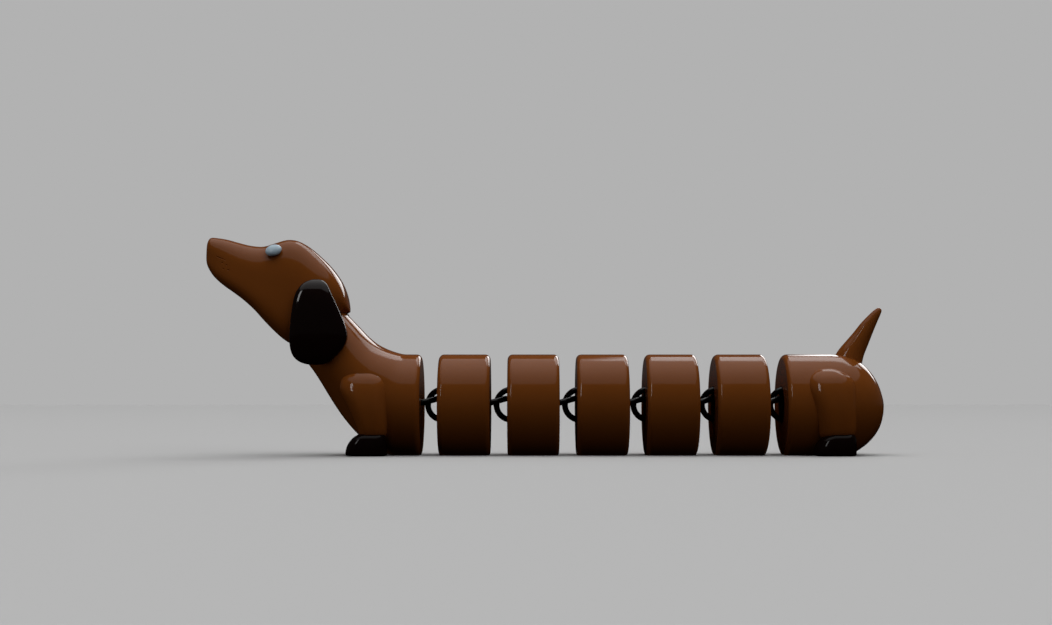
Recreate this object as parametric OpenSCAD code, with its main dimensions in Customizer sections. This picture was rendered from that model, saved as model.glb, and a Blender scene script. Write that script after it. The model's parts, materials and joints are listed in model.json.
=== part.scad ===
// Jointed sausage dog: a toy dachshund with a head section, five round middle
// segments and a rump section, linked nose to tail by rings and hinged loops.
// Nose towards -X, tail towards +X, dog's left towards -Y, feet on Z = 0.
// The origin is under the middle of the toy.

/* [Body] */
// Diameter of the round body
body_d = 30; // [26:0.5:36]
// Height that the flat underside takes off the round
flat_cut = 0.75; // [0.4:0.05:1.2]
// Rounding of the rims
rim_r = 1.5; // [0.8:0.1:2.5]
// Length from the nose to the back face of the front section
front_len = 63; // [58:1:76]
// Length of the rump section
rear_len = 30; // [26:1:40]

/* [Middle segments] */
// Number of middle segments
seg_count = 5; // [1:1:7]
// Length of one middle segment
seg_len = 15; // [12:0.5:22]
// Gap between two neighbouring sections
seg_gap = 5; // [4.5:0.1:6.5]

/* [Links] */
// Wire diameter of the rings and loops
wire_d = 1.7; // [1.4:0.1:2.1]
// Outer diameter of a front ring
ring_d = 10.6; // [10:0.1:13]
// Distance of a ring's centre behind its face
ring_set = 1.2; // [0.6:0.1:1.6]
// Width of a loop between the middles of its legs
loop_w = 8.9; // [7.5:0.1:11]
// Angle at which a loop stands up from level
loop_rise = 15; // [8:1:18]
// Distance of a loop's hinge behind its face
hinge_set = 2; // [1.6:0.1:2.6]
// Length of each turned-out end of a loop
stub_len = 1.4; // [1:0.1:2.5]
// Swing of a loop up or down
pitch_range = 10; // [6:1:12]
// Radial clearance of a loop's ends in their bores
pin_clear = 0.06; // [0.03:0.01:0.1]
// Clearance round the moving parts of a loop
swing_clear = 0.25; // [0.15:0.05:0.4]
// Depth of the round recess behind a front ring
recess_depth = 3; // [2:0.1:4]
// Clearance round a front ring in its recess
recess_clear = 0.1; // [0.05:0.05:0.3]
// Length of the straight bearing stretch at the front of a ring
bearing_len = 1; // [0.6:0.1:1.4]

/* [Head and neck] */
// Height of the crown of the head
head_top = 62.8; // [56:0.2:72]
// Half width of the head at the ears
head_half_w = 11; // [9:0.2:14]
// Half width of the neck where it meets the head
neck_half_w = 8.6; // [7:0.2:10]
// Thickness of an ear
ear_t = 4.8; // [4:0.2:6]
// Length of an eye
eye_len = 4.8; // [4:0.1:6]

/* [Legs and paws] */
// Length of a leg along the body
leg_len = 12.5; // [10:0.1:15]
// Height of the top of a leg
leg_top = 24.2; // [21:0.1:27]
// Height of the top of a paw
paw_h = 5.6; // [4.6:0.1:7]
// Length of a paw
paw_len = 11.7; // [10:0.1:14]
// Stand-out of a leg beyond the body's side
leg_out = 2.4; // [1.4:0.1:4]

/* [Tail] */
// Height of the tip of the tail
tail_tip_z = 43; // [38:0.5:52]
// Half thickness of the tail at its root
tail_root_r = 3.6; // [2.6:0.1:4.4]

/* [Hidden] */
links = seg_count + 1;

$fn = 96;
hull_fn = 32;
body_sides = 48;
eps = 0.01;
far = 200;

body_r = body_d / 2;
axis_z = body_r - flat_cut;
link_z = axis_z + 0.35;
wire_r = wire_d / 2;
ring_r = ring_d / 2 - wire_r;
pitch = seg_len + seg_gap;
chain_len = links * seg_gap + seg_count * seg_len;
nose_x = -(front_len + chain_len + rear_len) / 2;
front_back_x = nose_x + front_len;
rear_front_x = front_back_x + chain_len;
rump_x = rear_front_x + rear_len;

// X of the face that ring i stands on, and of the face that loop i hangs from
function ring_face(i) = front_back_x + seg_gap + (i - 1) * pitch;
function loop_face(i) = front_back_x + (i - 1) * pitch;

brown = [0.36, 0.18, 0.09];
black = [0.03, 0.03, 0.03];
pale_blue = [0.62, 0.72, 0.78];

// ---- shared shapes ----

// A point of a smooth curve through four values, at t between the middle two
function curve(a, b, c, d, t) =
    0.5 * (2 * b + (c - a) * t + (2 * a - 5 * b + 4 * c - d) * t * t + (3 * b - a - 3 * c + d) * t * t * t);

// Stations filled in with steps - 1 smooth ones between each pair
function fill(s, steps) = [
    for (i = [0:len(s) - 2], k = [0:(i == len(s) - 2 ? steps : steps - 1)])
        curve(s[max(i - 1, 0)], s[i], s[i + 1], s[min(i + 2, len(s) - 1)], k / steps)
];

// An oval ring; a station is [top x, top z, bottom x, bottom z, half width]
function oval(s, sides) = [
    for (k = [0:sides - 1]) let (a = 360 * k / sides)
        [(s[0] + s[2]) / 2 + (s[0] - s[2]) / 2 * cos(a), s[4] * sin(a),
         (s[1] + s[3]) / 2 + (s[1] - s[3]) / 2 * cos(a)]
];

// A closed skin over a row of oval stations
module loft(stations, sides) {
    rings = len(stations);
    points = [for (s = stations) each oval(s, sides)];
    walls = [for (i = [0:rings - 2], k = [0:sides - 1]) let (j = (k + 1) % sides)
        each [[i * sides + k, i * sides + j, (i + 1) * sides + j],
              [i * sides + k, (i + 1) * sides + j, (i + 1) * sides + k]]];
    first = [for (k = [sides - 1:-1:0]) k];
    last = [for (k = [0:sides - 1]) (rings - 1) * sides + k];
    polyhedron(points, concat(walls, [first], [last]));
}

// Its children as one mesh: a size of zero leaves that side as it is
module as_mesh() { resize([0, 0, 0]) children(); }

// Half space above the floor
module above_floor() { translate([-far, -far, 0]) cube(2 * far); }

// Its children on the dog's left (-Y) and, mirrored, on its right
module on_side(side) { if (side == "right") mirror([0, 1, 0]) children(); else children(); }

// Round bar along X with both rims rounded
module rounded_bar(x, length) {
    translate([x, 0, axis_z]) rotate([0, 90, 0]) rotate_extrude() {
        square([body_r - rim_r, length]);
        translate([0, rim_r]) square([body_r, length - 2 * rim_r]);
        for (y = [rim_r, length - rim_r]) translate([body_r - rim_r, y]) circle(rim_r);
    }
}

// ---- links ----

// Reach of a loop from its hinge to the middle of its tip, so that the tip
// lies inside the ring with an even clearance
tip_lead = 0.53;
loop_reach = (seg_gap + hinge_set - tip_lead) / cos(loop_rise);
bend_r = 1.3;
weld = 0.1;
bearing_skin = 0.05;
bow_x = loop_reach - loop_w / 2;
stub_y = loop_w / 2 + bend_r;

module ring_shape(i) {
    translate([ring_face(i) + ring_set, 0, link_z]) {
        rotate([90, 0, 0]) rotate_extrude() translate([ring_r, 0]) circle(wire_r, $fn = 48);
        translate([-ring_r, 0, -bearing_len / 2])
            cylinder(r = wire_r + bearing_skin, h = bearing_len, $fn = 48);
    }
}

module wire_arc(r, from, sweep) {
    rotate([0, 0, from]) rotate_extrude(angle = sweep) translate([r, 0]) circle(wire_r, $fn = 48);
}

module loop_shape(i) {
    translate([loop_face(i) - hinge_set, 0, link_z]) rotate([0, -loop_rise, 0]) {
        translate([bow_x, 0, 0]) wire_arc(loop_w / 2, -90, 180);
        for (m = [0, 1]) mirror([0, m, 0]) {
            translate([bend_r, loop_w / 2, 0]) rotate([0, 90, 0])
                cylinder(r = wire_r + eps, h = bow_x - bend_r + weld, $fn = 48);
            translate([bend_r, stub_y, 0]) wire_arc(bend_r, 180, 90);
            translate([0, stub_y, 0]) rotate([-90, 0, 0]) cylinder(r = wire_r, h = stub_len, $fn = 48);
        }
    }
}

// What a loop needs cut out of the face it hangs from
module loop_seat(i) {
    top = hinge_set * tan(loop_rise + pitch_range) + wire_r / cos(loop_rise + pitch_range) + swing_clear;
    bottom = wire_r + swing_clear;
    inner_y = loop_w / 2 - wire_r - 2 * swing_clear;
    outer_y = stub_y + swing_clear / 2;
    translate([loop_face(i) - hinge_set, 0, link_z]) for (m = [0, 1]) mirror([0, m, 0]) {
        translate([-wire_r - swing_clear, inner_y, -bottom])
            cube([hinge_set + wire_r + 2 * swing_clear + eps, outer_y - inner_y, top + bottom]);
        translate([0, outer_y - swing_clear, 0]) rotate([-90, 0, 0])
            cylinder(r = wire_r + pin_clear, h = swing_clear / 2 + stub_len + swing_clear, $fn = 48);
    }
}

// What a ring needs cut out of the face it stands on
module ring_seat(i) {
    translate([ring_face(i) - rim_r, 0, link_z]) rotate([0, 90, 0])
        cylinder(r = ring_r + wire_r + recess_clear, h = recess_depth + rim_r);
    ring_shape(i);
}

module front_ring(i) { color(black) ring_shape(i); }

module rear_loop(i) { color(black) loop_shape(i); }

// ---- middle segments ----

module segment(i) {
    color(brown) difference() {
        rounded_bar(ring_face(i), seg_len);
        ring_seat(i);
        loop_seat(i + 1);
        translate([-far, -far, -2 * far]) cube(2 * far);
    }
}

// ---- front section ----

// Head stations from the nose to the back of the crown, from the nose's tip
head_stations = [
    [0.0, -3.1, 0.0, -4.9, 0.9],
    [0.25, -1.5, 0.15, -6.4, 2.6],
    [1.1, 0.0, 1.0, -8.8, 4.1],
    [3.2, 0.4, 3.2, -11.6, 5.4],
    [7.0, -0.3, 6.2, -14.2, 6.2],
    [11.6, -1.6, 9.8, -16.8, 6.7],
    [16.4, -2.1, 13.2, -19.4, 7.4],
    [20.6, -0.9, 16.6, -22.8, 8.9],
    [24.6, 0.0, 20.6, -26.8, 10.2],
    [28.8, -1.1, 24.4, -30.3, head_half_w],
    [33.2, -4.6, 28.4, -30.6, head_half_w],
    [37.6, -9.4, 32.4, -27.6, head_half_w - 0.6],
    [40.6, -14.8, 35.4, -23.8, head_half_w - 1.6],
    [41.9, -20.6, 37.2, -20.4, head_half_w - 3.2]
];

module head_form() {
    loft([for (s = fill(head_stations, 2))
        [nose_x + s[0], head_top + s[1], nose_x + s[2], head_top + s[3], s[4]]], 32);
}

// Length of the round part of the front section, and how far the neck's skin
// runs into it and stays below its surface
body_start = 5;
tuck = 0.15;
neck_end_r = body_r - tuck;

// Neck stations from inside the head to the round body, measured from the
// back face of the front section and from the floor
neck_stations = [
    [-27.6, 46.6, -40.6, 35.6, neck_half_w - 1],
    [-24.6, 43.9, -37.9, 32.0, neck_half_w - 0.2],
    [-21.6, 40.8, -34.4, 27.9, neck_half_w + 0.8],
    [-18.2, 37.3, -31.0, 23.3, neck_half_w + 1.8],
    [-14.9, 33.8, -27.9, 18.4, neck_half_w + 2.8],
    [-11.4, 31.3, -24.6, 13.4, neck_half_w + 4],
    [-8.6, 30.1, -20.9, 8.4, neck_half_w + 5],
    [-6.6, 29.5, -15.6, 2.2, body_r - 0.5],
    [-body_start, axis_z + neck_end_r, -body_start, axis_z - neck_end_r, neck_end_r],
    [-body_start + 1, axis_z + neck_end_r, -body_start + 1, axis_z - neck_end_r, neck_end_r]
];

module neck_form() {
    loft([for (s = fill(neck_stations, 2))
        [front_back_x + s[0], s[1], front_back_x + s[2], s[3], s[4]]], body_sides);
}

module front_form() {
    neck_form();
    rounded_bar(front_back_x - body_start - 2 * rim_r, body_start + 2 * rim_r);
}

module head() {
    color(brown) head_form();
}

module front_body() {
    color(brown) {
        as_mesh() difference() {
            intersection() { neck_form(); above_floor(); }
            head_form();
        }
        difference() {
            intersection() {
                rounded_bar(front_back_x - body_start - 2 * rim_r, body_start + 2 * rim_r);
                translate([front_back_x - body_start, -far, 0]) cube(2 * far);
            }
            loop_seat(1);
        }
    }
}

// Ear outline, from the nose and from the crown, clockwise from its root
ear_points = [
    [33.4, -14.8], [29.4, -17.4], [28.6, -24.3], [28.4, -31.3],
    [30.4, -33.9], [34.5, -34.7], [39.0, -31.8], [40.3, -28.3]
];
// Tilt of the ear away from the head towards its foot, and how far its
// middle stands off the head's side
ear_splay = 7;
ear_out = 0.4;

module ear(side) {
    root = ear_points[0];
    color(black) as_mesh() on_side(side) difference() {
        translate([nose_x, -head_half_w - ear_out, head_top + root[1]]) rotate([-ear_splay, 0, 0])
            hull() for (p = ear_points) translate([p[0], 0, p[1] - root[1]]) sphere(ear_t / 2, $fn = 20);
        head_form();
        neck_form();
    }
}

// Middle of an eye, from the nose, the middle plane and the crown, its shape
// beside its length, and its tilt
eye_place = [20.6, -6.1, -3.4];
eye_shape = [0.5, 0.4, 0.39];
eye_tilt = 12;

module eye(side) {
    color(pale_blue) as_mesh() on_side(side) difference() {
        translate([nose_x + eye_place[0], eye_place[1], head_top + eye_place[2]]) rotate([0, -eye_tilt, 0])
            scale(eye_len * eye_shape) sphere(1, $fn = 28);
        head_form();
    }
}

// ---- legs and paws ----

// X of the back of a front leg, and of a hind leg
front_leg_x = front_back_x - 9.3;
hind_leg_x = rear_front_x + 19;
// How far a front and a hind paw reach behind their legs
front_paw_back = 0.1;
hind_paw_back = 0.3;
// Gap between the rump and what is seated on it
seat_gap = 0.02;

// Knobs of a leg, from shoulder to ankle: [x before its back, height, radius]
leg_knobs = [
    [leg_len - 4.4, leg_top - 4.6, 4.4], [4, leg_top - 4.9, 4],
    [leg_len - 5.4, paw_h, 3.2], [3, paw_h, 3.2]
];
// Round bars that square the back of a leg: [height, depth from its outside]
leg_bars = [[leg_top - 5.8, 4.6], [paw_h, 3.4]];
leg_bar_r = 2.8;
leg_bar_len = 3;
// How far a paw stands out beyond its leg
paw_out = 0.6;

module leg_shape(back_x) {
    out = body_r + leg_out;
    intersection() {
        hull() {
            for (k = leg_knobs) translate([back_x - k[0], -out + k[2], k[1]]) sphere(k[2], $fn = hull_fn);
            for (b = leg_bars) translate([back_x - leg_bar_len, -out + b[1], b[0]]) rotate([0, 90, 0])
                cylinder(r = leg_bar_r, h = leg_bar_len, $fn = hull_fn);
            translate([back_x - leg_len / 2, -body_r / 2, leg_top / 2]) sphere(leg_bar_len, $fn = hull_fn);
        }
        translate([back_x - 2 * far, -far, paw_h]) cube(2 * far);
    }
}

module paw_shape(back_x) {
    out = body_r + leg_out + paw_out;
    intersection() {
        hull() for (x = [-paw_len + paw_h, 0])
            translate([back_x + x, -out + paw_h, 0.1]) sphere(paw_h, $fn = hull_fn);
        translate([back_x - 2 * far, -far, 0]) cube([2 * far, 2 * far, paw_h]);
    }
}

module front_leg(side) {
    color(brown) as_mesh() on_side(side) difference() { leg_shape(front_leg_x); front_form(); }
}

module front_paw(side) {
    color(black) as_mesh() on_side(side) difference() {
        paw_shape(front_leg_x + front_paw_back);
        front_form();
    }
}

module hind_leg(side) {
    color(brown) as_mesh() on_side(side) difference() { leg_shape(hind_leg_x); rear_form(seat_gap); }
}

module hind_paw(side) {
    color(black) as_mesh() on_side(side) difference() {
        paw_shape(hind_leg_x + hind_paw_back);
        rear_form(seat_gap);
    }
}

// ---- rear section ----

// The rump's dome closes from dome_len before its end
dome_len = rear_len * 0.53;
dome_steps = 14;

// The rump's outer form, or the same grown by a gap
module rear_form(grow = 0) {
    r = body_r + grow;
    end = rear_len + grow;
    translate([rear_front_x, 0, axis_z]) rotate([0, 90, 0]) rotate_extrude() {
        square([r - rim_r, rim_r + eps]);
        translate([r - rim_r, rim_r]) circle(rim_r);
        polygon(concat(
            [[0, end], [0, rim_r], [r, rim_r]],
            [for (k = [0:dome_steps - 1]) let (a = 90 * k / dome_steps)
                [r * cos(a), end - dome_len + dome_len * sin(a)]]));
    }
}

module rear_body() {
    color(brown) difference() {
        rear_form();
        ring_seat(links);
        translate([-far, -far, -2 * far]) cube(2 * far);
    }
}

// Tail stations from inside the rump to the tip, measured from the rump's end
tail_stations = [
    [-15.6, 27.0, -7.6, 22.0, tail_root_r],
    [-13.6, 29.8, -6.4, 27.0, tail_root_r * 0.86],
    [-9.0, 34.8, -4.4, 32.0, tail_root_r * 0.62],
    [-4.8, 39.6, -2.2, 37.4, tail_root_r * 0.42],
    [-1.6, 43.0, -0.5, 41.7, tail_root_r * 0.22]
];

// Height of the tail's root, below which it keeps its shape, and the tip's
// height in the stations
tail_root_z = 28;
tail_drawn_z = 43;

module tail() {
    rise = (tail_tip_z - tail_root_z) / (tail_drawn_z - tail_root_z);
    color(brown) as_mesh() difference() {
        loft([for (s = fill(tail_stations, 3))
            [rump_x + s[0], tail_root_z + (s[1] - tail_root_z) * rise,
             rump_x + s[2], tail_root_z + (s[3] - tail_root_z) * rise, s[4]]], 20);
        rear_form(seat_gap);
    }
}

// ---- nodes ----

head();
front_body();
rear_body();
tail();
for (side = ["left", "right"]) {
    ear(side);
    eye(side);
    front_leg(side);
    front_paw(side);
    hind_leg(side);
    hind_paw(side);
}
for (i = [1:seg_count]) segment(i);
for (i = [1:links]) front_ring(i);
for (i = [1:links]) rear_loop(i);
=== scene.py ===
"""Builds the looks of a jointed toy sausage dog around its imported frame.

The frame gives the place and size of every part. The visible shapes are drawn
in millimetres from those places and made in metres: the head, the neck and the
rump are ovals extruded from station to station, the legs, paws and ears are
stacks of rounded outlines, and the middle segments are turned discs.
"""

from __future__ import annotations

import json
import logging
import math
from collections.abc import Callable, Iterable, Iterator
from contextlib import contextmanager
from dataclasses import dataclass, field
from enum import Enum

import bmesh
import bpy
from mathutils import Matrix, Vector

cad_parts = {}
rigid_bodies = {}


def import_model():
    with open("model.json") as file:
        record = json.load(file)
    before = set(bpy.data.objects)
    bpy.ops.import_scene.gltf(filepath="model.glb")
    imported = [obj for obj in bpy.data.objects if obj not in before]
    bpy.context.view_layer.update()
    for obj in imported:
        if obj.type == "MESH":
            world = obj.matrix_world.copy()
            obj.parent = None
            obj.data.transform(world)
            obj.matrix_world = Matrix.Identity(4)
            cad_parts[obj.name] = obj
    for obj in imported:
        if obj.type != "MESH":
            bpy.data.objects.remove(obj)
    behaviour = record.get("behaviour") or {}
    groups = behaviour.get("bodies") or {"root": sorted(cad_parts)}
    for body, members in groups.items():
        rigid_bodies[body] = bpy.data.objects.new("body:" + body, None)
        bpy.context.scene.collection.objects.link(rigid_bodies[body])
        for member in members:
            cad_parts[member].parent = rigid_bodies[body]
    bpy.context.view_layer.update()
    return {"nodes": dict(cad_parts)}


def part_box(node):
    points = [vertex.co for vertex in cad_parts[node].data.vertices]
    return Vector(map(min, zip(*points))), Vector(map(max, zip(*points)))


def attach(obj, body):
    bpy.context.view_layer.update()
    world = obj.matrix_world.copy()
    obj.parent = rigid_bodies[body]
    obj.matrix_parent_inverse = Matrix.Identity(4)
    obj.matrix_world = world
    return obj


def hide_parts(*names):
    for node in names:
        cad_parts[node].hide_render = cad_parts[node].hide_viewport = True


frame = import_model()

LOG = logging.getLogger("dachshund")
MM = 0.001
Colour = tuple[float, float, float]
Piece = bpy.types.Object


class Side(Enum):
    """A side of the dog, as the factor that its left-hand Y values take."""

    LEFT = 1
    RIGHT = -1

    @property
    def tag(self) -> str:
        """The word that ends the names of this side's pieces."""
        return self.name.lower()


SIDES = (Side.LEFT, Side.RIGHT)


# ---------------------------------------------------------------------------
# Finishes
# ---------------------------------------------------------------------------


@dataclass(frozen=True)
class MouldedPlastic:
    """Glossy moulded plastic with a faint cloudiness and orange peel.

    Args:
        name: Name of the slot that it fills.
        tone: Main colour, linear.
        deep_tone: Colour of the slightly denser clouds, linear.
        gloss: Lowest and highest roughness.
        specular: Specular level of the surface.
        peel: Strength of the orange peel.
        cloud_size: Size of the clouds, in metres.
    """

    name: str
    tone: Colour
    deep_tone: Colour
    gloss: tuple[float, float] = (0.05, 0.11)
    specular: float = 0.5
    peel: float = 0.015
    cloud_size: float = 0.009

    PEEL_SIZE = 0.0011
    PEEL_DEPTH = 0.00003
    SMUDGE_SIZE = 0.004
    SMUDGE_RANGE = (0.3, 0.7)

    def material(self) -> bpy.types.Material:
        """Make the material, or find the one made before.

        Returns:
            The node material.
        """
        title = f"{self.name}_{round(100 * self.specular):02d}_finish"
        found = bpy.data.materials.get(title)
        if found:
            return found
        made = bpy.data.materials.new(title)
        made.use_nodes = True
        nodes = made.node_tree.nodes
        links = made.node_tree.links
        shader = nodes["Principled BSDF"]
        shader.inputs["Specular IOR Level"].default_value = self.specular
        place = nodes.new("ShaderNodeTexCoord").outputs["Object"]

        def noise(size: float, detail: float) -> bpy.types.NodeSocket:
            """A noise over the object's own coordinates, as its factor."""
            node = nodes.new("ShaderNodeTexNoise")
            node.inputs["Scale"].default_value = 1 / size
            node.inputs["Detail"].default_value = detail
            links.new(place, node.inputs["Vector"])
            return node.outputs["Fac"]

        clouds = nodes.new("ShaderNodeMix")
        clouds.data_type = "RGBA"
        clouds.inputs["A"].default_value = (*self.tone, 1)
        clouds.inputs["B"].default_value = (*self.deep_tone, 1)
        links.new(noise(self.cloud_size, 3), clouds.inputs["Factor"])
        links.new(clouds.outputs["Result"], shader.inputs["Base Color"])

        smudges = nodes.new("ShaderNodeMapRange")
        smudges.inputs["From Min"].default_value = self.SMUDGE_RANGE[0]
        smudges.inputs["From Max"].default_value = self.SMUDGE_RANGE[1]
        smudges.inputs["To Min"].default_value = self.gloss[0]
        smudges.inputs["To Max"].default_value = self.gloss[1]
        links.new(noise(self.SMUDGE_SIZE, 4), smudges.inputs["Value"])
        links.new(smudges.outputs["Result"], shader.inputs["Roughness"])

        bump = nodes.new("ShaderNodeBump")
        bump.inputs["Strength"].default_value = self.peel
        bump.inputs["Distance"].default_value = self.PEEL_DEPTH
        links.new(noise(self.PEEL_SIZE, 2), bump.inputs["Height"])
        links.new(bump.outputs["Normal"], shader.inputs["Normal"])
        return made


BROWN = MouldedPlastic("brown_gloss", (0.235, 0.067, 0.011), (0.21, 0.059, 0.0095), specular=0.13)
# The ears' own black; the same finish also paints the shade inside the ring recesses.
BLACK = MouldedPlastic("black_trim", (0.009, 0.0035, 0.0028), (0.006, 0.0023, 0.0018), specular=0.17)
# A darker copy of the ears' black for the paws: the darker tone is painted shade for the paws under the
# legs, and the lower specular level dulls their gloss.
SHADED_PAW_BLACK = MouldedPlastic("black_trim", (0.007, 0.0027, 0.0022), (0.005, 0.0019, 0.0015), specular=0.07)
LINK = MouldedPlastic("link_black", (0.0015, 0.0015, 0.0016), (0.0008, 0.0008, 0.0009), (0.16, 0.24), 0.2)
EYE_BLUE = MouldedPlastic("eye_blue", (0.56, 0.70, 0.80), (0.50, 0.65, 0.75), (0.1, 0.16), 0.25)


# ---------------------------------------------------------------------------
# Modelling steps
# ---------------------------------------------------------------------------


@contextmanager
def editing(piece: Piece) -> Iterator[bmesh.types.BMesh]:
    """Edit mode on one piece for as long as the block lasts.

    Args:
        piece: The piece to edit.

    Returns:
        The piece's edit mesh, for selecting in code.
    """
    bpy.ops.object.select_all(action="DESELECT")
    piece.select_set(True)
    bpy.context.view_layer.objects.active = piece
    bpy.ops.object.mode_set(mode="EDIT")
    bpy.ops.mesh.select_mode(type="FACE")
    yield bmesh.from_edit_mesh(piece.data)
    bpy.ops.object.mode_set(mode="OBJECT")


def take_all() -> None:
    """Select the whole mesh in edit mode."""
    bpy.ops.mesh.select_all(action="SELECT")


def pick_edges(piece: Piece, wanted: Callable[[bmesh.types.BMEdge], bool]) -> None:
    """Select the edges that pass a test, in edge mode.

    Args:
        piece: The piece in edit mode.
        wanted: Says whether an edge is taken.
    """
    bpy.ops.mesh.select_mode(type="EDGE")
    bpy.ops.mesh.select_all(action="DESELECT")
    mesh = bmesh.from_edit_mesh(piece.data)
    for edge in mesh.edges:
        edge.select_set(wanted(edge))
    bmesh.update_edit_mesh(piece.data)


def turn(angle: float, axis: str, about: Vector) -> None:
    """Turn the selection right-handed about an axis through a point.

    Args:
        angle: Angle in radians.
        axis: "X", "Y" or "Z".
        about: The point.
    """
    bpy.ops.transform.rotate(value=-angle, orient_axis=axis, center_override=about)


def resize(factors: Iterable[float], about: Vector) -> None:
    """Scale the selection about a point."""
    bpy.ops.transform.resize(value=tuple(factors), center_override=about)


def named(piece: Piece, name: str) -> Piece:
    """Name a new piece and its mesh, and put its place into its mesh.

    Args:
        piece: The piece.
        name: Its name.

    Returns:
        The piece.
    """
    piece.name = name
    piece.data.name = name
    bpy.ops.object.transform_apply(location=True, rotation=True, scale=True)
    return piece


def apply_modifier(piece: Piece, kind: str, **settings: object) -> None:
    """Add a modifier to a piece and apply it.

    Args:
        piece: The piece.
        kind: The modifier's type.
        settings: Its settings by name.
    """
    bpy.ops.object.select_all(action="DESELECT")
    piece.select_set(True)
    bpy.context.view_layer.objects.active = piece
    modifier = piece.modifiers.new(kind.lower(), kind)
    for key, value in settings.items():
        setattr(modifier, key, value)
    bpy.ops.object.modifier_apply(modifier=modifier.name)


def carve(piece: Piece, cutters: Iterable[Piece]) -> None:
    """Cut closed shapes out of a piece and remove them.

    Args:
        piece: The piece that is cut.
        cutters: The shapes that are taken out of it.
    """
    for cutter in cutters:
        apply_modifier(piece, "BOOLEAN", object=cutter, operation="DIFFERENCE", solver="EXACT")
        bpy.data.objects.remove(cutter)


def stand_on_floor(piece: Piece) -> None:
    """Cut a piece flat at floor height and close the cut."""
    with editing(piece):
        take_all()
        bpy.ops.mesh.bisect(plane_co=(0, 0, 0), plane_no=(0, 0, 1), use_fill=True, clear_inner=True)


def smooth(piece: Piece, angle: float = 32.0) -> None:
    """Point the faces outwards and shade the piece smooth up to an angle.

    Args:
        piece: The piece.
        angle: Sharpest edge that is still shaded smooth, in degrees.
    """
    with editing(piece):
        take_all()
        bpy.ops.mesh.remove_doubles(threshold=1e-6)
        take_all()
        bpy.ops.mesh.normals_make_consistent(inside=False)
    bpy.ops.object.shade_smooth_by_angle(angle=math.radians(angle))
    apply_modifier(piece, "WEIGHTED_NORMAL", keep_sharp=True, weight=90)


@dataclass(frozen=True)
class Oval:
    """An oval cross-section that stands across the dog's middle plane.

    Args:
        top: X and Z of its highest point, in millimetres.
        bottom: X and Z of its lowest point, in millimetres.
        half_width: Half its width across the dog, in millimetres.
        pear: How much its sides lean in towards the top.
    """

    top: tuple[float, float]
    bottom: tuple[float, float]
    half_width: float
    pear: float = 0.0

    @property
    def middle(self) -> Vector:
        """Its centre, in metres."""
        x, z = ((a + b) / 2 for a, b in zip(self.top, self.bottom))
        return Vector((x, 0, z)) * MM

    @property
    def half_height(self) -> float:
        """Half the distance from bottom to top, in metres."""
        return math.dist(self.top, self.bottom) / 2 * MM

    @property
    def tilt(self) -> float:
        """Its lean towards the tail, in radians."""
        return math.atan2(self.top[0] - self.bottom[0], self.top[1] - self.bottom[1])


def between(row: list[Oval], steps: int) -> list[Oval]:
    """Fill a row of ovals with others on smooth curves through them.

    Args:
        row: The given ovals.
        steps: How many stretches each gap is divided into.

    Returns:
        The longer row.
    """

    def curve(a: float, b: float, c: float, d: float, t: float) -> float:
        """A point of the smooth curve through four values, from b to c."""
        bend = (2 * a - 5 * b + 4 * c - d) * t * t
        twist = (3 * b - a - 3 * c + d) * t * t * t
        return 0.5 * (2 * b + (c - a) * t + bend + twist)

    values = [(*o.top, *o.bottom, o.half_width, o.pear) for o in row]
    filled = []
    for i in range(len(values) - 1):
        near = [values[max(i - 1, 0)], values[i], values[i + 1], values[min(i + 2, len(values) - 1)]]
        for step in range(steps):
            v = [curve(*four, step / steps) for four in zip(*near)]
            filled.append(Oval((v[0], v[1]), (v[2], v[3]), v[4], v[5]))
    return [*filled, row[-1]]


def square_up(piece: Piece, upper: float, lower: float) -> None:
    """Push a unit circle's halves out towards a square.

    Args:
        piece: The circle, in edit mode.
        upper: Power of its upper half, 2 for a true circle.
        lower: Power of its lower half.
    """
    mesh = bmesh.from_edit_mesh(piece.data)
    for point in mesh.verts:
        power = 2 / (upper if point.co.z > 0 else lower)
        point.co.y = math.copysign(abs(point.co.y) ** power, point.co.y)
        point.co.z = math.copysign(abs(point.co.z) ** power, point.co.z)
    bmesh.update_edit_mesh(piece.data)


def lean_in(piece: Piece, last: Oval | None, here: Oval) -> None:
    """Lean the sides of the selected oval in towards its top.

    Args:
        piece: The piece in edit mode.
        last: The oval that this one was extruded from, if any.
        here: The oval.
    """
    before = last.pear if last else 0.0
    if not (before or here.pear):
        return
    mesh = bmesh.from_edit_mesh(piece.data)
    up = Vector((math.sin(here.tilt), 0, math.cos(here.tilt))) / here.half_height
    for point in mesh.verts:
        if point.select:
            height = (point.co - here.middle).dot(up)
            point.co.y *= (1 - here.pear * height) / (1 - before * height)
    bmesh.update_edit_mesh(piece.data)


def extrude_ovals(name: str, row: list[Oval], sides: int, powers: tuple[float, float] = (2, 2)) -> Piece:
    """Extrude a disc from oval to oval, with its last face as the closing cap.

    Args:
        name: Name of the piece.
        row: The ovals in order.
        sides: Number of points round each oval.
        powers: Squareness of the ovals' upper and lower halves, 2 for true ovals.

    Returns:
        The closed piece.
    """
    bpy.ops.object.select_all(action="DESELECT")
    bpy.ops.mesh.primitive_circle_add(
        vertices=sides, radius=1, fill_type="NGON", rotation=(0, math.pi / 2, 0))
    piece = named(bpy.context.object, name)
    start = row[0]
    with editing(piece):
        square_up(piece, *powers)
        take_all()
        resize((1, start.half_width * MM, start.half_height), Vector())
        turn(start.tilt, "Y", Vector())
        bpy.ops.transform.translate(value=start.middle)
        lean_in(piece, None, start)
        for last, here in zip(row, row[1:]):
            bpy.ops.mesh.extrude_region_move(TRANSFORM_OT_translate={"value": here.middle - last.middle})
            turn(-last.tilt, "Y", here.middle)
            resize((1, here.half_width / last.half_width, here.half_height / last.half_height), here.middle)
            turn(here.tilt, "Y", here.middle)
            lean_in(piece, last, here)
    return piece


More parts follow.
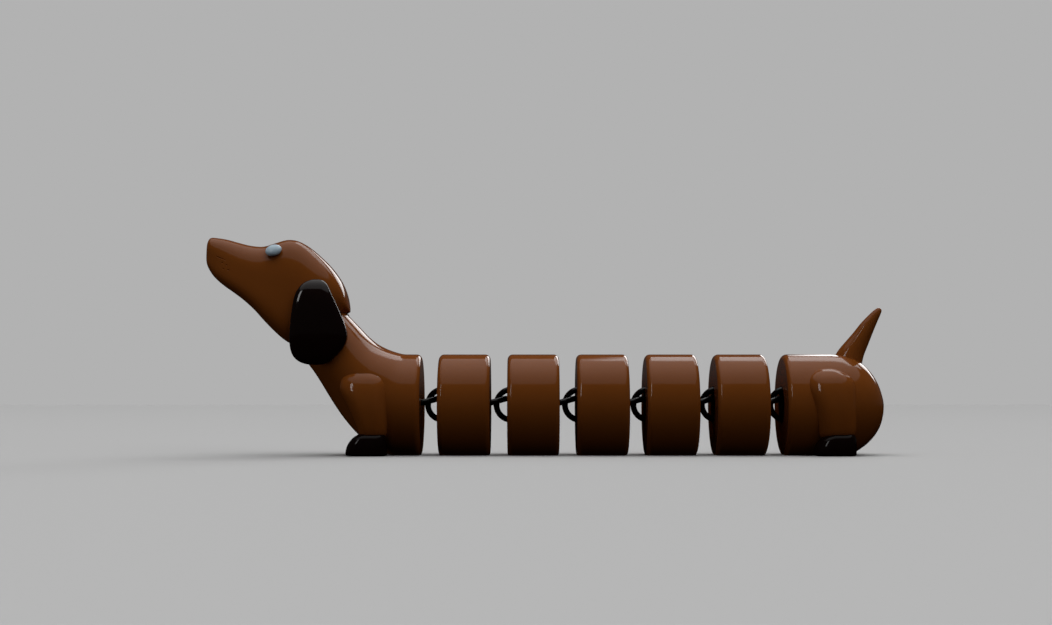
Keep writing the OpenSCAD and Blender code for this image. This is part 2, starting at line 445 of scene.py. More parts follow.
@dataclass(frozen=True)
class Slice:
    """A level outline of a limb or an ear, on the dog's left.

    Args:
        z: Its height, in millimetres.
        front: X of its end towards the nose, in millimetres.
        back: X of its end towards the tail, in millimetres.
        out: Distance of its outside from the middle plane, in millimetres.
        inn: Distance of its inside from the middle plane, in millimetres.
    """

    z: float
    front: float
    back: float
    out: float
    inn: float

    @property
    def middle(self) -> Vector:
        """Its centre, in metres."""
        return Vector(((self.front + self.back) / 2, -(self.out + self.inn) / 2, self.z)) * MM

    @property
    def half_sizes(self) -> tuple[float, float]:
        """Half its length and half its width, in metres."""
        return (self.back - self.front) / 2 * MM, (self.out - self.inn) / 2 * MM


def stack_slices(name: str, slices: list[Slice], corner: float, side: Side) -> Piece:
    """Extrude a square with rounded corners from slice to slice.

    Args:
        name: Name of the piece.
        slices: The slices from first to last.
        corner: Share of the half sizes that the corners' rounding takes.
        side: The side of the dog that the piece is for.

    Returns:
        The closed piece.
    """
    bpy.ops.object.select_all(action="DESELECT")
    bpy.ops.mesh.primitive_plane_add(size=2)
    piece = named(bpy.context.object, name)
    start = slices[0]
    with editing(piece):
        take_all()
        bpy.ops.mesh.bevel(offset=corner, segments=8, affect="VERTICES", clamp_overlap=True)
        take_all()
        resize((*start.half_sizes, 1), Vector())
        bpy.ops.transform.translate(value=start.middle)
        for last, here in zip(slices, slices[1:]):
            bpy.ops.mesh.extrude_region_move(TRANSFORM_OT_translate={"value": here.middle - last.middle})
            factors = [a / b for a, b in zip(here.half_sizes, last.half_sizes)]
            resize((*factors, 1), here.middle)
        if side is Side.RIGHT:
            take_all()
            bpy.ops.transform.mirror(constraint_axis=(False, True, False), center_override=(0, 0, 0))
    return piece


def round_bar(name: str, radius: float, x: tuple[float, float], height: float) -> Piece:
    """A plain round bar along the dog, for cutting or for turning into a segment.

    Args:
        name: Name of the piece.
        radius: Its radius, in metres.
        x: Where it starts and ends, in metres.
        height: Height of its axis, in metres.

    Returns:
        The bar.
    """
    bpy.ops.object.select_all(action="DESELECT")
    bpy.ops.mesh.primitive_cylinder_add(
        vertices=128, radius=radius, depth=x[1] - x[0],
        location=(sum(x) / 2, 0, height), rotation=(0, math.pi / 2, 0))
    return named(bpy.context.object, name)


def cross_bar(radius: float, place: Vector, length: float) -> Piece:
    """A round bar across the dog, for cutting a bore."""
    bpy.ops.object.select_all(action="DESELECT")
    bpy.ops.mesh.primitive_cylinder_add(
        vertices=32, radius=radius, depth=length, location=place, rotation=(math.pi / 2, 0, 0))
    return named(bpy.context.object, "bore")


def block(low: Vector, high: Vector) -> Piece:
    """A block between two corners, for cutting a pocket."""
    bpy.ops.object.select_all(action="DESELECT")
    bpy.ops.mesh.primitive_cube_add(size=1, location=(low + high) / 2, scale=high - low)
    return named(bpy.context.object, "pocket")


def dimple(place: Vector, radius: float) -> Piece:
    """A small ball, for cutting a dimple."""
    bpy.ops.object.select_all(action="DESELECT")
    bpy.ops.mesh.primitive_uv_sphere_add(segments=20, ring_count=12, radius=radius, location=place)
    return named(bpy.context.object, "dimple")


def paint_recess_shade(piece: Piece, finish: MouldedPlastic, start: Vector, radius: float, depth: float) -> None:
    """Paint the faces inside a round recess with a finish of their own, as painted shade: the dark finish
    stands in for the shade deep in the recess.

    Args:
        piece: The piece, already dressed.
        finish: Finish of the recess, a dark finish that paints its shade.
        start: Middle of the recess's mouth, in metres.
        radius: Its radius, in metres.
        depth: Its depth, in metres.
    """
    piece.data.materials.append(finish.material())
    slack = 0.02 * MM
    for face in piece.data.polygons:
        offset = face.center - start
        if math.hypot(offset.y, offset.z) < radius + slack and slack < offset.x < depth + slack:
            face.material_index = 1


def shown(piece: Piece, body: str, finish: MouldedPlastic, *nodes: str) -> Piece:
    """Dress a piece, let it stand for its frame nodes and ride on its body.

    Args:
        piece: The finished piece.
        body: The body that it moves with.
        finish: Its finish.
        nodes: The frame nodes that it stands for.

    Returns:
        The piece.
    """
    piece.data.materials.clear()
    piece.data.materials.append(finish.material())
    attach(piece, body)
    if nodes:
        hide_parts(*nodes)
    LOG.info("%s rides on %s with %d faces", piece.name, body, len(piece.data.polygons))
    return piece


# ---------------------------------------------------------------------------
# Places that the frame gives
# ---------------------------------------------------------------------------


@dataclass(frozen=True)
class Plan:
    """The places that the shapes are drawn from, in millimetres.

    Args:
        nose_x: X of the nose.
        crown_z: Height of the crown.
        body_r: Radius of the round body.
        axis_z: Height of its axis.
        link_z: Height of the links.
        front_back_x: X of the front section's back face.
        rear_front_x: X of the rump's front face.
        segments: X of the front and back face of each middle segment.
    """

    nose_x: float
    crown_z: float
    body_r: float
    axis_z: float
    link_z: float
    front_back_x: float
    rear_front_x: float
    segments: tuple[tuple[float, float], ...]

    @classmethod
    def from_frame(cls) -> Plan:
        """Read the places from the frame's boxes."""
        count = sum(name.startswith("segment_") for name in frame["nodes"])
        boxes = [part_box(f"segment_{i + 1}") for i in range(count)]
        radius = boxes[0][1].y
        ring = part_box("front_ring_1")
        return cls(
            nose_x=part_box("head")[0].x / MM,
            crown_z=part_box("head")[1].z / MM,
            body_r=radius / MM,
            axis_z=(boxes[0][1].z - radius) / MM,
            link_z=(ring[0].z + ring[1].z) / 2 / MM,
            front_back_x=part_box("front_body")[1].x / MM,
            rear_front_x=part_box("rear_body")[0].x / MM,
            segments=tuple((low.x / MM, high.x / MM) for low, high in boxes))


# ---------------------------------------------------------------------------
# Faces of the round sections
# ---------------------------------------------------------------------------


@dataclass
class LinkFaces:
    """What the links need in the faces of the round sections.

    Args:
        plan: The places from the frame.
        rim: Rounding of the rims, in millimetres.
        recess_r: Radius of the round recess behind a ring.
        recess_depth: Depth of that recess.
        hinge_set: Distance of a loop's hinge behind its face.
        pocket: Inner and outer edge of a hinge pocket from the middle plane.
        pocket_half: Height of a pocket below and above the hinge.
        bore_r: Radius of a bore for a loop's end.
        bore_end: Distance of a bore's blind end from the middle plane.
        bore_overlap: How far a bore's cutter reaches into its pocket, over both ends.
    """

    plan: Plan
    rim: float = 1.5
    recess_r: float = 5.4
    recess_depth: float = 3.0
    hinge_set: float = 2.0
    pocket: tuple[float, float] = (3.1, 5.875)
    pocket_half: tuple[float, float] = (1.1, 2.12)
    bore_r: float = 0.91
    bore_end: float = 7.4
    bore_overlap: float = 0.5

    RIM_STEPS = 8

    def rim_row(self, face_x: float, inwards: int) -> list[Oval]:
        """Ovals for a rounded rim, from its round side to its flat face.

        Args:
            face_x: X of the flat face.
            inwards: 1 when the section lies behind the face, -1 when it lies before it.

        Returns:
            The ovals.
        """
        axis, radius = self.plan.axis_z, self.plan.body_r
        row = []
        for k in range(self.RIM_STEPS + 1):
            angle = math.pi / 2 * k / self.RIM_STEPS
            x = face_x + inwards * self.rim * (1 - math.sin(angle))
            r = radius - self.rim * (1 - math.cos(angle))
            row.append(Oval((x, axis + r), (x, axis - r), r))
        return row

    def ring_recess(self, face_x: float) -> list[Piece]:
        """Cutters for the recess that a front ring stands in."""
        start = (face_x - self.rim) * MM
        end = (face_x + self.recess_depth) * MM
        return [round_bar("recess", self.recess_r * MM, (start, end), self.plan.link_z * MM)]

    def shade_ring_recess(self, piece: Piece, face_x: float) -> None:
        """Paint the recess of a ring black, as painted shade behind the ring."""
        mouth = Vector((face_x, 0, self.plan.link_z)) * MM
        paint_recess_shade(piece, BLACK, mouth, self.recess_r * MM, self.recess_depth * MM)

    def loop_pockets(self, face_x: float) -> list[Piece]:
        """Cutters for the two hinge pockets and bores of a rear loop."""
        hinge_x = face_x - self.hinge_set
        low_z = self.plan.link_z - self.pocket_half[0]
        high_z = self.plan.link_z + self.pocket_half[1]
        cutters = []
        for side in SIDES:
            edges = sorted(side.value * -y for y in self.pocket)
            cutters.append(block(
                Vector((hinge_x - self.pocket_half[0], edges[0], low_z)) * MM,
                Vector((face_x + self.rim, edges[1], high_z)) * MM))
            middle = (self.pocket[1] + self.bore_end) / 2
            cutters.append(cross_bar(
                self.bore_r * MM,
                Vector((hinge_x, side.value * -middle, self.plan.link_z)) * MM,
                (self.bore_end - self.pocket[1] + self.bore_overlap) * MM))
        return cutters


@dataclass
class MiddleSegments:
    """The round discs of the back, turned once and copied.

    Args:
        plan: The places from the frame.
        faces: The cuts for the links.
    """

    plan: Plan
    faces: LinkFaces

    def disc(self) -> Piece:
        """Turn the first disc: a bar with rounded rims, flat underneath."""
        front, back = self.plan.segments[0]
        ends = (front * MM, back * MM)
        piece = round_bar("segment_disc_1", self.plan.body_r * MM, ends, self.plan.axis_z * MM)
        with editing(piece):
            pick_edges(piece, lambda e: any(
                all(abs(v.co.x - x) < 1e-6 for v in e.verts) for x in ends))
            bpy.ops.mesh.bevel(offset=self.faces.rim * MM, segments=8, profile=0.5, affect="EDGES")
        stand_on_floor(piece)
        carve(piece, self.faces.ring_recess(front))
        carve(piece, self.faces.loop_pockets(back))
        smooth(piece)
        return piece

    def build(self) -> None:
        """Make every disc and let each ride on its own body."""
        first = self.disc()
        for i, (front, _) in enumerate(self.plan.segments, start=1):
            piece = first
            if i > 1:
                piece = first.copy()
                piece.data = first.data.copy()
                piece.name = piece.data.name = f"segment_disc_{i}"
                bpy.context.scene.collection.objects.link(piece)
                piece.data.transform(Matrix.Translation(
                    ((front - self.plan.segments[0][0]) * MM, 0, 0)))
            shown(piece, f"middle_{i}", BROWN, f"segment_{i}")
            # The recess behind the ring is painted black, as painted shade.
            self.faces.shade_ring_recess(piece, front)


# ---------------------------------------------------------------------------
# Legs and paws, shared by the front and the rear section
# ---------------------------------------------------------------------------


@dataclass
class Limb:
    """A leg and its paw on one side of the dog.

    Args:
        name: "front" or "hind".
        back_x: X of the leg's back, in millimetres.
        body: The body that they ride on.
        foot_reach: How far the leg's foot stands before its back.
        leg_outline: The leg's slices, from the foot up.
        paw_outline: The paw's slices, from the floor up.
        knee_z: Height of the knee.
        knee_reach: How far the knee stands before the leg's back.
        crown_inset: How far the leg's top draws back behind the knee.
        leg_inside: Distance of the leg's inner side from the middle plane.
        paw_inside: Distance of the paw's inner side from the middle plane.
    """

    name: str
    back_x: float
    body: str
    foot_reach: float = 10.2
    leg_outline: tuple[tuple[float, float, float, float], ...] = (
        # height, share of the way forward to the knee, inset at the back, distance out
        (5.0, -0.25, 0.6, 14.9),
        (5.6, -0.06, -0.1, 16.0),
        (6.6, 0.0, -0.4, 16.5),
        (8.2, 0.1, -0.5, 16.9),
        (10.6, 0.28, -0.6, 17.25),
        (13.0, 0.48, -0.6, 17.4),
        (15.2, 0.68, -0.6, 17.35),
        (17.4, 0.9, -0.6, 17.05),
        (19.0, 1.0, -0.55, 16.65),
        (20.3, 1.0, -0.4, 16.2),
        (21.5, 0.95, 0.0, 15.6),
        (22.5, 0.83, 0.7, 14.9),
        (23.4, 0.64, 1.7, 13.95),
        (24.1, 0.42, 2.9, 13.0),
        (24.6, 0.15, 4.1, 12.0),
        (25.0, -0.3, 5.3, 10.8),
    )
    paw_outline: tuple[tuple[float, float, float, float], ...] = (
        # height, reach in front of the leg's back, inset at the back, distance out
        (0.0, 11.0, 0.0, 17.0),
        (0.3, 11.35, -0.1, 17.3),
        (1.1, 11.45, -0.15, 17.4),
        (2.7, 11.1, -0.15, 17.4),
        (4.1, 10.35, -0.15, 17.3),
        (5.2, 9.4, -0.1, 17.0),
        (6.1, 8.1, 0.2, 16.3),
        (6.7, 6.6, 0.8, 15.0),
    )
    knee_z: float = 19.0
    knee_reach: float = 13.4
    crown_inset: float = 3.8
    leg_inside: float = 5.0
    paw_inside: float = 7.0

    def leg_slices(self) -> list[Slice]:
        """Place the leg's slices, with a front that slants from the knee to the foot."""
        slices = []
        for z, share, back, out in self.leg_outline:
            low_reach = self.foot_reach if z < self.knee_z else self.knee_reach - self.crown_inset
            front = low_reach + share * (self.knee_reach - low_reach)
            slices.append(Slice(z, self.back_x - front, self.back_x - back, out, self.leg_inside))
        return slices

    def paw_slices(self) -> list[Slice]:
        """Place the paw's slices."""
        return [Slice(z, self.back_x - a, self.back_x - b, out, self.paw_inside)
                for z, a, b, out in self.paw_outline]

    def build(self, side: Side) -> None:
        """Make the leg and the paw of one side.

        Args:
            side: The side.
        """
        leg = stack_slices(f"{self.name}_thigh_{side.tag}", self.leg_slices(), 0.75, side)
        paw = stack_slices(f"{self.name}_toe_{side.tag}", self.paw_slices(), 0.6, side)
        for piece, finish, node in ((leg, BROWN, "leg"), (paw, SHADED_PAW_BLACK, "paw")):
            apply_modifier(piece, "SUBSURF", levels=1, render_levels=1)
            smooth(piece, 50)
            shown(piece, self.body, finish, f"{self.name}_{node}_{side.tag}")


# ---------------------------------------------------------------------------
# Front section
# ---------------------------------------------------------------------------


@dataclass
class FrontSection:
    """Head, neck, ears, eyes, front legs and paws.

    Args:
        plan: The places from the frame.
        faces: The cuts for the links.
        body: The body that the pieces ride on.
        head_powers: Squareness of the head's upper and lower half.
        dimples: X from the nose, Z from the crown and distance out of each dimple.
        dimple_r: Radius of a dimple.
        crease_half_size: Half sizes of the crease behind the nose.
        crease_place: X from the nose, distance out and Z from the crown of its middle.
        crease_turns: How far it dips and how far it toes in, in degrees.
        eye_half_size: Half sizes of an eye.
        eye_place: X from the nose, distance out and Z from the crown of its middle.
        eye_turns: How far it leans in and how far it tips back, in degrees.
        leg_set: Distance of the leg's back before the section's back face.
        leg_foot_reach: How far the foot stands before the leg's back.
    """

    plan: Plan
    faces: LinkFaces
    body: str = "front_section"
    head_powers: tuple[float, float] = (2.6, 4.2)
    dimples: tuple[tuple[float, float, float], ...] = (
        (5.4, -7.6, 6.98), (6.7, -8.3, 7.3), (5.8, -9.3, 7.35), (7.3, -9.7, 7.6))
    dimple_r: float = 0.32
    crease_half_size: tuple[float, float, float] = (2.2, 0.45, 0.26)
    crease_place: tuple[float, float, float] = (4.8, 6.75, -6.2)
    crease_turns: tuple[float, float] = (22, 14)
    eye_half_size: tuple[float, float, float] = (2.4, 1.25, 1.95)
    eye_place: tuple[float, float, float] = (20.3, 7.1, -4.0)
    eye_turns: tuple[float, float] = (38, 12)
    leg_set: float = 9.4
    leg_foot_reach: float = 7.9
    # Head ovals: top x, z, bottom x, z from the nose and the crown, half width, pear
    head_rows: tuple[tuple[float, float, float, float, float, float], ...] = (
        (0.0, -2.3, 0.0, -5.8, 1.6, 0.0),
        (0.3, -0.9, 0.15, -7.4, 3.6, 0.0),
        (1.1, 0.2, 0.9, -9.2, 5.0, 0.04),
        (3.0, 0.15, 2.6, -11.6, 5.95, 0.1),
        (6.0, -0.35, 5.2, -13.9, 6.8, 0.16),
        (9.4, -1.3, 8.2, -16.0, 7.4, 0.19),
        (13.0, -2.15, 11.4, -18.4, 7.9, 0.2),
        (16.6, -2.35, 14.6, -21.3, 8.4, 0.2),
        (20.0, -1.35, 17.6, -24.6, 8.9, 0.2),
        (23.4, -0.4, 20.8, -27.8, 9.35, 0.19),
        (26.6, -0.75, 24.0, -30.4, 9.8, 0.17),
        (30.0, -2.6, 27.4, -31.6, 10.1, 0.14),
        (33.6, -5.6, 30.6, -30.8, 10.5, 0.1),
        (36.8, -8.9, 33.0, -28.6, 10.1, 0.05),
        (39.4, -12.6, 35.2, -26.0, 9.1, 0.0),
        (41.0, -16.4, 37.2, -23.6, 7.6, 0.0),
        (41.7, -19.6, 39.4, -22.2, 5.2, 0.0),
        (41.9, -21.4, 41.0, -21.9, 1.6, 0.0),
    )
    # Neck ovals: top x, z, bottom x, z from the back face and the floor, half width
    neck_rows: tuple[tuple[float, float, float, float, float], ...] = (
        (-27.6, 46.6, -40.6, 35.6, 9.4),
        (-24.2, 43.3, -38.2, 32.4, 10.4),
        (-21.0, 40.0, -34.9, 28.5, 11.3),
        (-18.2, 37.1, -31.8, 24.6, 12.1),
        (-15.6, 34.4, -29.4, 21.0, 12.85),
        (-13.0, 32.3, -27.2, 17.4, 13.5),
        (-10.6, 31.0, -24.7, 13.5, 14.05),
        (-8.6, 30.2, -21.9, 9.7, 14.5),
        (-7.0, 29.7, -18.2, 5.6, 14.78),
        (-5.8, 29.4, -13.2, 1.7, 14.94),
        (-4.8, 29.27, -8.4, -0.3, 15.0),
    )
    ear_rows: tuple[tuple[float, float, float, float, float], ...] = (
        # height from the crown, front and back from the nose, outside, inside
        (-12.6, 32.4, 34.0, 10.9, 9.4),
        (-12.9, 31.2, 35.0, 11.7, 8.6),
        (-13.5, 29.9, 36.0, 12.5, 8.6),
        (-14.6, 28.7, 36.7, 13.3, 8.8),
        (-16.4, 27.6, 37.5, 14.1, 9.3),
        (-18.4, 27.0, 38.5, 14.6, 9.7),
        (-21.5, 26.6, 40.0, 14.9, 9.95),
        (-25.0, 26.2, 41.5, 15.1, 10.1),
        (-28.0, 26.0, 42.5, 15.15, 10.2),
        (-30.2, 25.95, 42.5, 15.1, 10.25),
        (-32.2, 26.1, 41.6, 14.9, 10.4),
        (-34.2, 26.6, 40.0, 14.6, 10.7),
        (-35.8, 27.7, 38.2, 14.2, 11.0),
        (-36.8, 29.4, 36.6, 13.7, 11.4),
        (-37.3, 31.4, 35.2, 13.1, 12.0),
    )

    def head(self) -> Piece:
        """Draw the head out from the nose to the tip behind the crown."""
        nose, crown = self.plan.nose_x, self.plan.crown_z
        row = [
            Oval((nose + a, crown + b), (nose + c, crown + d), width, pear)
            for a, b, c, d, width, pear in self.head_rows]
        piece = extrude_ovals("head_shell", between(row, 3), 72, self.head_powers)
        carve(piece, self.muzzle_marks())
        smooth(piece, 40)
        return piece

    def on_head(self, x: float, out: float, z: float, side: Side) -> Vector:
        """A place on one side of the head, in metres."""
        return Vector((self.plan.nose_x + x, side.value * -out, self.plan.crown_z + z)) * MM

    def muzzle_marks(self) -> list[Piece]:
        """Cutters for the dimples and the crease on both sides of the muzzle."""
        cutters = [
            dimple(self.on_head(x, out, z, side), self.dimple_r * MM)
            for side in SIDES for x, z, out in self.dimples]
        dip, toe_in = self.crease_turns
        for side in SIDES:
            crease = dimple(Vector(), 1.0)
            with editing(crease):
                take_all()
                resize([a * MM for a in self.crease_half_size], Vector())
                turn(math.radians(dip), "Y", Vector())
                turn(side.value * math.radians(-toe_in), "Z", Vector())
                bpy.ops.transform.translate(value=self.on_head(*self.crease_place, side))
            cutters.append(crease)
        return cutters

    def neck(self) -> Piece:
        """Draw the neck down into the round body, with its rim and link pockets."""
        back = self.plan.front_back_x
        row = between([Oval((back + a, b), (back + c, d), w) for a, b, c, d, w in self.neck_rows], 4)
        piece = extrude_ovals("neck_and_chest", row + self.faces.rim_row(back, -1), 96)
        stand_on_floor(piece)
        carve(piece, self.faces.loop_pockets(back))
        smooth(piece)
        return piece

    def ear(self, side: Side) -> Piece:
        """Stack one ear from its root to its foot."""
        nose, crown = self.plan.nose_x, self.plan.crown_z
        slices = [Slice(crown + z, nose + a, nose + b, out, inn) for z, a, b, out, inn in self.ear_rows]
        piece = stack_slices(f"ear_flap_{side.tag}", slices, 0.5, side)
        apply_modifier(piece, "SUBSURF", levels=1, render_levels=1)
        smooth(piece, 50)
        return piece

    def eye(self, side: Side) -> Piece:
        """Model one eye as a domed oval that leans with the head's side."""
        bpy.ops.object.select_all(action="DESELECT")
        bpy.ops.mesh.primitive_uv_sphere_add(segments=40, ring_count=24, radius=1)
        piece = named(bpy.context.object, f"eye_dome_{side.tag}")
        lean, tip = self.eye_turns
        with editing(piece):
            take_all()
            resize([a * MM for a in self.eye_half_size], Vector())
            turn(side.value * math.radians(-lean), "X", Vector())
            turn(math.radians(-tip), "Y", Vector())
            bpy.ops.transform.translate(value=self.on_head(*self.eye_place, side))
        smooth(piece, 60)
        return piece

    def build(self) -> None:
        """Make the section's pieces."""
        shown(self.head(), self.body, BROWN, "head")
        shown(self.neck(), self.body, BROWN, "front_body")
        limb = Limb("front", self.plan.front_back_x - self.leg_set, self.body, self.leg_foot_reach)
        for side in SIDES:
            shown(self.ear(side), self.body, BLACK, f"ear_{side.tag}")
            shown(self.eye(side), self.body, EYE_BLUE, f"eye_{side.tag}")
            limb.build(side)


# ---------------------------------------------------------------------------
# Rear section
# ---------------------------------------------------------------------------


@dataclass
class RearSection:
    """Rump, tail, hind legs and paws.

    Args:
        plan: The places from the frame.
        faces: The cuts for the links.
        body: The body that the pieces ride on.
        leg_set: Distance of the leg's back behind the rump's front face.
    """

    plan: Plan
    faces: LinkFaces
    body: str = "rear_section"
    leg_set: float = 18.9
    # Dome ovals: top x, z, bottom x, z from the front face and the floor, half width
    dome_rows: tuple[tuple[float, float, float, float, float], ...] = (
        (14.0, 29.25, 14.0, -0.75, 15.0),
        (17.5, 29.0, 17.3, -0.45, 14.8),
        (21.0, 28.0, 20.5, 0.45, 14.0),
        (23.6, 26.4, 23.0, 1.9, 12.7),
        (25.4, 24.6, 25.1, 3.6, 11.0),
        (26.8, 22.7, 26.8, 5.5, 9.1),
        (27.9, 20.6, 28.1, 7.6, 7.0),
        (28.7, 18.5, 28.9, 9.8, 4.8),
        (29.3, 16.7, 29.35, 11.7, 2.8),
        (29.65, 14.9, 29.65, 13.4, 0.8),
    )
    # Tail ovals: front x, z, back x, z from the front face and the floor, half width
    tail_rows: tuple[tuple[float, float, float, float, float], ...] = (
        (14.4, 26.4, 23.2, 22.0, 4.2),
        (15.6, 28.6, 23.4, 25.2, 3.8),
        (17.2, 31.0, 24.1, 28.6, 3.2),
        (19.2, 33.3, 25.2, 31.4, 2.75),
        (21.3, 35.7, 26.3, 34.1, 2.35),
        (23.3, 38.2, 27.4, 36.8, 1.95),
        (25.3, 40.3, 28.5, 39.3, 1.55),
        (27.0, 41.9, 29.3, 41.1, 1.15),
        (28.1, 42.7, 29.6, 42.1, 0.75),
        (28.7, 42.95, 29.4, 42.65, 0.35),
    )

    def rump(self) -> Piece:
        """Draw the rump from its rounded rim to the end of its dome."""
        face = self.plan.rear_front_x
        rim = self.faces.rim_row(face, 1)[::-1]
        dome = [Oval((face + a, b), (face + c, d), w) for a, b, c, d, w in self.dome_rows]
        piece = extrude_ovals("rump", rim + between(dome, 4), 96)
        stand_on_floor(piece)
        carve(piece, self.faces.ring_recess(face))
        smooth(piece)
        return piece

    def tail(self) -> Piece:
        """Draw the tail out from inside the rump to its rounded tip."""
        face = self.plan.rear_front_x
        row = [Oval((face + a, b), (face + c, d), w) for a, b, c, d, w in self.tail_rows]
        piece = extrude_ovals("tail_horn", between(row, 3), 40)
        smooth(piece, 50)
        return piece

    def build(self) -> None:
        """Make the section's pieces."""
        rump = shown(self.rump(), self.body, BROWN, "rear_body")
        # The recess behind the ring is painted black, as painted shade.
        self.faces.shade_ring_recess(rump, self.plan.rear_front_x)
        shown(self.tail(), self.body, BROWN, "tail")
        limb = Limb("hind", self.plan.rear_front_x + self.leg_set, self.body)
        for side in SIDES:
            limb.build(side)


@dataclass
class Links:
    """The rings and wire loops, which keep their frame shapes."""

    count: int = field(default_factory=lambda: sum(n.startswith("front_ring_") for n in frame["nodes"]))

    def build(self) -> None:
        """Give each ring and loop its finish."""
        for i in range(1, self.count + 1):
            for kind in ("front_ring", "rear_loop"):
                node = frame["nodes"][f"{kind}_{i}"]
                node.data.materials.clear()
                node.data.materials.append(LINK.material())
                LOG.info("%s keeps its frame shape", node.name)


# ---------------------------------------------------------------------------
# Studio
# ---------------------------------------------------------------------------


@dataclass(frozen=True)
class SoftPanel:
    """A soft light panel far away from the toy.

    Args:
        azimuth: Its middle, in degrees from straight behind the toy towards the tail's side.
        elevation: Height of its middle, in degrees.
        half_size: Half its width and half its height, in degrees.
        soft: Width of its soft edge, in degrees.
        strength: Its radiance.
    """

    azimuth: float
    elevation: float
    half_size: tuple[float, float]
    soft: float
    strength: float


@dataclass(frozen=True)
class SoftLamp:
    """A rectangular lamp that either glints or fills.

    Args:
        name: Name of the lamp.
        azimuth: As for the panels.
        elevation: As for the panels.
        half_size: Half its width and half its height, in degrees.
        radiance: Its radiance.
        glints: Whether it shows in gloss alone, and not in matt shading.
    """

    name: str
    azimuth: float
    elevation: float
    half_size: tuple[float, float]
    radiance: float
    glints: bool

    RANGE = 3.0

    def hang(self) -> None:
        """Add the lamp to the scene, facing the toy."""
        data = bpy.data.lights.new(self.name, "AREA")
        data.shape = "RECTANGLE"
        data.size, data.size_y = (2 * self.RANGE * math.tan(math.radians(a)) for a in self.half_size)
        data.energy = self.radiance * math.pi * data.size * data.size_y
        lamp = bpy.data.objects.new(self.name, data)
        azimuth, elevation = math.radians(self.azimuth), math.radians(self.elevation)
        level = math.cos(elevation)
        towards = Vector((math.sin(azimuth) * level, math.cos(azimuth) * level, math.sin(elevation)))
        lamp.location = towards * self.RANGE
        lamp.rotation_euler = towards.to_track_quat("Z", "Y").to_euler()
        lamp.visible_camera = False
        lamp.visible_diffuse = not self.glints
        lamp.visible_glossy = self.glints
        if self.glints:
            lamp.light_linking.receiver_collection = self.receivers()
        bpy.context.scene.collection.objects.link(lamp)

    def receivers(self) -> bpy.types.Collection:
        """Gather what a glint falls on: everything but the head, whose sides stay soft.

        Returns:
            The collection, which is not part of the scene's own.
        """
        lit = bpy.data.collections.new(f"{self.name}_receivers")
        for piece in bpy.context.scene.objects:
            if piece.type == "MESH" and not piece.name.startswith("head"):
                lit.objects.link(piece)
        return lit


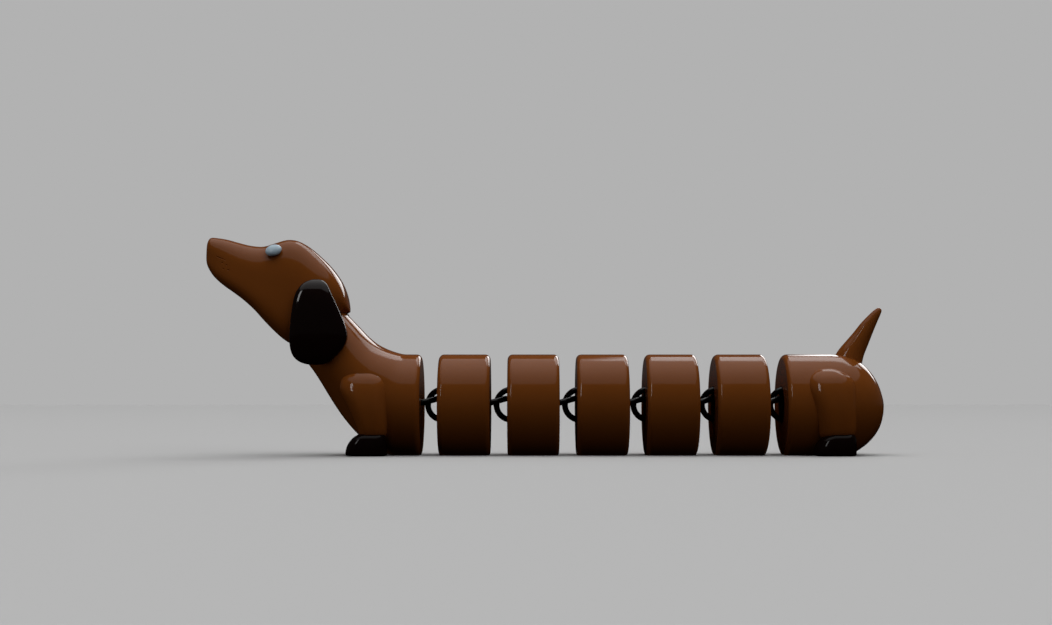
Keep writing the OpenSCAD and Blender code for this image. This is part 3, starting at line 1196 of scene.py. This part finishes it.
@dataclass
class Studio:
    """Pale floor, even backdrop, overhead dome with two panels, and camera.

    Args:
        backdrop: Radiance of the backdrop as the camera sees it.
        dome: Radiance of the overhead dome at its edge.
        dome_rise: How much brighter the dome is straight overhead.
        dome_edge: Elevations between which the dome fades in, in degrees.
        low_sky: Radiance between the horizon and the dome.
        horizon_rise: Height over which the low sky fades in, as a share of the sky's radius.
        panels: The two panels.
        floor_tone: Reflectance of the floor.
        lamp_row: The lamps.
        camera_place: Place of the camera, in metres.
        camera_pitch: How far the camera looks up, in degrees.
        lens: Focal length, in millimetres.
    """

    backdrop: float = 0.445
    dome: float = 1.05
    dome_rise: float = 0.9
    dome_edge: tuple[float, float] = (48.0, 51.0)
    low_sky: float = 0.04
    horizon_rise: float = 0.03
    panels: tuple[SoftPanel, ...] = (
        SoftPanel(27, 49, (21, 9), 3, 2.9),
        SoftPanel(24, 22, (13, 8), 2, 4.2),
    )
    floor_tone: float = 0.53
    lamp_row: tuple[SoftLamp, ...] = (
        SoftLamp("strip", -143, 33, (5.5, 13), 11.0, True),
        SoftLamp("fill", 147, 28, (15, 12), 1.45, False),
        SoftLamp("left_bounce", -96, 4, (20, 12), 1.0, False),
    )
    camera_place: Vector = field(default_factory=lambda: Vector((-5.62, -490, 14.85)) * MM)
    camera_pitch: float = 3.12
    lens: float = 57.3

    def world(self) -> None:
        """Light the world by direction, and show the camera an even backdrop."""
        world = bpy.data.worlds.new("studio")
        bpy.context.scene.world = world
        world.use_nodes = True
        nodes = world.node_tree.nodes
        links = world.node_tree.links

        def maths(operation: str, *values: object) -> bpy.types.NodeSocket:
            """One maths node on sockets or numbers, as its result."""
            node = nodes.new("ShaderNodeMath")
            node.operation = operation
            for socket, value in zip(node.inputs, values):
                if isinstance(value, bpy.types.NodeSocket):
                    links.new(value, socket)
                else:
                    socket.default_value = value
            return node.outputs[0]

        def fade(value: bpy.types.NodeSocket, low: float, high: float) -> bpy.types.NodeSocket:
            """A smooth step of a value from 0 at low to 1 at high."""
            node = nodes.new("ShaderNodeMapRange")
            node.interpolation_type = "SMOOTHSTEP"
            links.new(value, node.inputs["Value"])
            node.inputs["From Min"].default_value = low
            node.inputs["From Max"].default_value = high
            return node.outputs["Result"]

        split = nodes.new("ShaderNodeSeparateXYZ")
        links.new(nodes.new("ShaderNodeTexCoord").outputs["Generated"], split.inputs[0])
        x, y, z = split.outputs
        elevation = maths("ARCSINE", z)
        total = maths("MULTIPLY", fade(z, 0.0, self.horizon_rise), self.low_sky)
        low, high = (math.radians(e) for e in self.dome_edge)
        overhead = maths("MULTIPLY_ADD", fade(elevation, low, math.pi / 2), self.dome_rise, self.dome)
        total = maths("ADD", total, maths("MULTIPLY", fade(elevation, low, high), overhead))
        for panel in self.panels:
            a = math.radians(panel.azimuth)
            across = maths("SUBTRACT", maths("MULTIPLY", x, math.cos(a)), maths("MULTIPLY", y, math.sin(a)))
            along = maths("MULTIPLY_ADD", y, math.cos(a), maths("MULTIPLY", x, math.sin(a)))
            sideways = maths("ABSOLUTE", maths("ARCTAN2", across, along))
            upwards = maths("ABSOLUTE", maths("SUBTRACT", elevation, math.radians(panel.elevation)))
            level = panel.strength
            for offset, half in zip((sideways, upwards), panel.half_size):
                inside = fade(offset, math.radians(half + panel.soft), math.radians(half))
                level = maths("MULTIPLY", inside, level)
            total = maths("ADD", total, level)
        light = nodes["Background"]
        links.new(total, light.inputs["Color"])
        even = nodes.new("ShaderNodeBackground")
        even.inputs["Color"].default_value = (self.backdrop, self.backdrop, self.backdrop, 1)
        mix = nodes.new("ShaderNodeMixShader")
        links.new(nodes.new("ShaderNodeLightPath").outputs["Is Camera Ray"], mix.inputs[0])
        links.new(light.outputs[0], mix.inputs[1])
        links.new(even.outputs[0], mix.inputs[2])
        links.new(mix.outputs[0], nodes["World Output"].inputs["Surface"])

    def lamps(self) -> None:
        """Hang the lamps."""
        for lamp in self.lamp_row:
            lamp.hang()

    def floor(self) -> None:
        """Lay a wide pale floor."""
        bpy.ops.object.select_all(action="DESELECT")
        bpy.ops.mesh.primitive_plane_add(size=40)
        floor = named(bpy.context.object, "floor")
        made = bpy.data.materials.new("pale_floor")
        made.use_nodes = True
        shader = made.node_tree.nodes["Principled BSDF"]
        shader.inputs["Base Color"].default_value = (self.floor_tone, self.floor_tone, self.floor_tone, 1)
        shader.inputs["Roughness"].default_value = 1.0
        shader.inputs["Specular IOR Level"].default_value = 0.0
        floor.data.materials.append(made)
        floor.visible_diffuse = False
        floor.visible_glossy = False
        floor.visible_shadow = False

    def camera(self) -> None:
        """Set up the camera level with the toy's back, aimed slightly up."""
        data = bpy.data.cameras.new("camera")
        data.lens = self.lens
        data.sensor_width = 36
        data.sensor_fit = "HORIZONTAL"
        data.clip_start = 0.01
        data.clip_end = 100
        camera = bpy.data.objects.new("camera", data)
        camera.location = self.camera_place
        camera.rotation_euler = (math.radians(90 + self.camera_pitch), 0, 0)
        bpy.context.scene.collection.objects.link(camera)
        bpy.context.scene.camera = camera

    def build(self) -> None:
        """Set up light, floor and camera."""
        scene = bpy.context.scene
        scene.view_settings.view_transform = "Standard"
        self.world()
        self.lamps()
        self.floor()
        self.camera()


def main() -> None:
    """Build the sections in order, then the studio."""
    logging.basicConfig(level=logging.INFO)
    plan = Plan.from_frame()
    faces = LinkFaces(plan)
    FrontSection(plan, faces).build()
    MiddleSegments(plan, faces).build()
    RearSection(plan, faces).build()
    Links().build()
    Studio().build()


if __name__ == "__main__":
    main()
